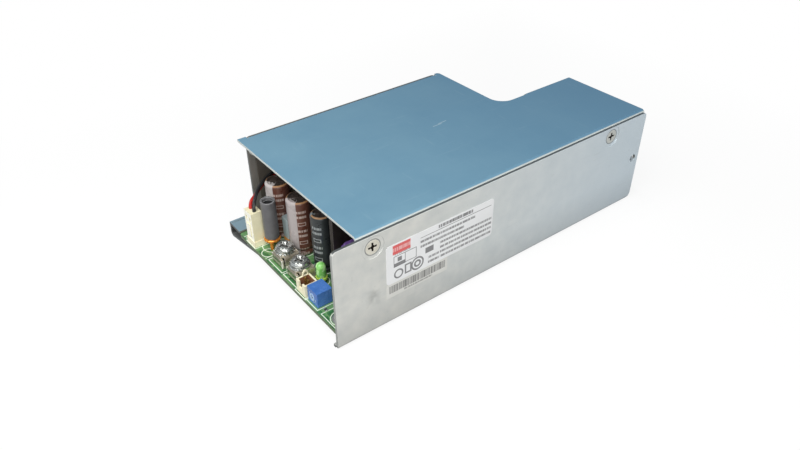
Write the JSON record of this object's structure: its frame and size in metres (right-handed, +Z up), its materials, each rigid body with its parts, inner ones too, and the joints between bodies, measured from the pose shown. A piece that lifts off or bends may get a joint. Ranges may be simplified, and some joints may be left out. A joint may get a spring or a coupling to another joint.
{
  "type": "open frame power supply",
  "caption": "Open frame switched-mode power supply: folded sheet-metal chassis and cover, circuit board open at the output end, screw terminals and an end fan.",
  "frame": {"origin": "centre of the overall box in plan, on the resting surface under the chassis base", "axes": "+X from the open output end towards the fan end, +Z up; the plain side wall is at -Y and the folded ledge at +Y"},
  "size_m": [0.1586, 0.086, 0.0438],
  "materials": {
    "sheet_metal": "bare sheet, satin, slightly grained",
    "cover_metal": "bare sheet, smooth satin",
    "screw_cream": "plated, satin",
    "screw_steel": "plated, bright",
    "nickel": "nickel plated, glossy",
    "fish_paper": "thin insulating sheet, matte",
    "board": "solder mask over glass fibre laminate",
    "nylon_cream": "natural nylon",
    "lead_red": "insulated wire, slightly glossy",
    "lead_black": "insulated wire, slightly glossy",
    "fan_plastic": "moulded, fine matte grain",
    "copper": "enamelled copper wire",
    "ferrite": "sintered, dull",
    "shrink_sleeve": "shrink sleeve, satin",
    "can_brown": "printed plastic sleeve",
    "can_dark": "printed plastic sleeve",
    "can_blue": "printed plastic sleeve",
    "film_case": "moulded capacitor case",
    "trimmer_blue": "moulded plastic",
    "trimmer_white": "moulded plastic",
    "led_green": "tinted clear epoxy",
    "sink_metal": "bare plate, satin",
    "package_black": "moulded epoxy with tinned leads",
    "toroid_paint": "coated powder core",
    "winding_purple": "enamelled wire",
    "coil_tape": "polyester tape",
    "bobbin": "moulded phenolic",
    "film_yellow": "moulded capacitor case",
    "disc_blue": "dipped coating",
    "fuse_ceramic": "ceramic tube with plated caps",
    "gold_pin": "plated"
  },
  "bodies": {
    "supply": {"chassis": "sheet_metal", "cover": "cover_metal", "case_screws": "screw_cream", "insulating_sheet": "fish_paper", "board_standoffs": "screw_steel", "circuit_board": "board", "board_screws": "screw_steel", "fan_header": "nylon_cream", "fan_plug": "nylon_cream", "fan_lead_red": "lead_red", "fan_lead_black": "lead_black", "fan_frame": "fan_plastic", "fan_stator": "copper", "fan_screws": "screw_steel", "rod_choke_coil": "copper", "rod_choke_sleeve": "shrink_sleeve", "output_capacitor_1": "can_brown", "output_capacitor_2": "can_brown", "output_capacitor_3": "can_dark", "snubber_capacitor": "film_case", "terminal_bracket_plus": "nickel", "terminal_bracket_minus": "nickel", "terminal_screws": "nickel", "terminal_washers": "nickel", "signal_header": "nylon_cream", "signal_pins": "gold_pin", "trimmer_body": "trimmer_blue", "led_lens": "led_green", "led_leads": "screw_steel", "output_heatsink": "sink_metal", "output_rectifier_1": "package_black", "output_rectifier_2": "package_black", "output_rectifier_3": "package_black", "heatsink_screws": "screw_steel", "toroid_core": "toroid_paint", "toroid_winding": "winding_purple", "transformer_core": "ferrite", "transformer_bobbin": "bobbin", "transformer_coil": "coil_tape", "control_board": "board", "primary_heatsink": "sink_metal", "switch_transistor_1": "package_black", "switch_transistor_2": "package_black", "bridge_rectifier": "package_black", "bulk_capacitor_1": "can_blue", "bulk_capacitor_2": "can_blue", "pfc_choke_core": "ferrite", "pfc_choke_coil": "coil_tape", "emi_choke_core": "ferrite", "emi_choke_coils": "copper", "x_capacitor": "film_yellow", "y_capacitors": "disc_blue", "aux_transformer": "coil_tape", "fuse": "fuse_ceramic", "fuse_clips": "nickel", "ac_inlet_header": "nylon_cream", "ac_inlet_pins": "nickel"},
    "rotor": {"fan_rotor": "fan_plastic"},
    "trimmer": {"trimmer_screw": "trimmer_white"}
  },
  "joints": [
    {"name": "fan_spin", "type": "hinge", "parent": "supply", "child": "rotor", "pos_m": [0.06405, -0.0205, 0.022], "axis": [1, 0, 0], "continuous": true},
    {"name": "trimmer_turn", "type": "hinge", "parent": "supply", "child": "trimmer", "pos_m": [-0.07645, -0.02215, 0.009], "axis": [-1, 0, 0], "range_deg": [-130, 130]}
  ]
}
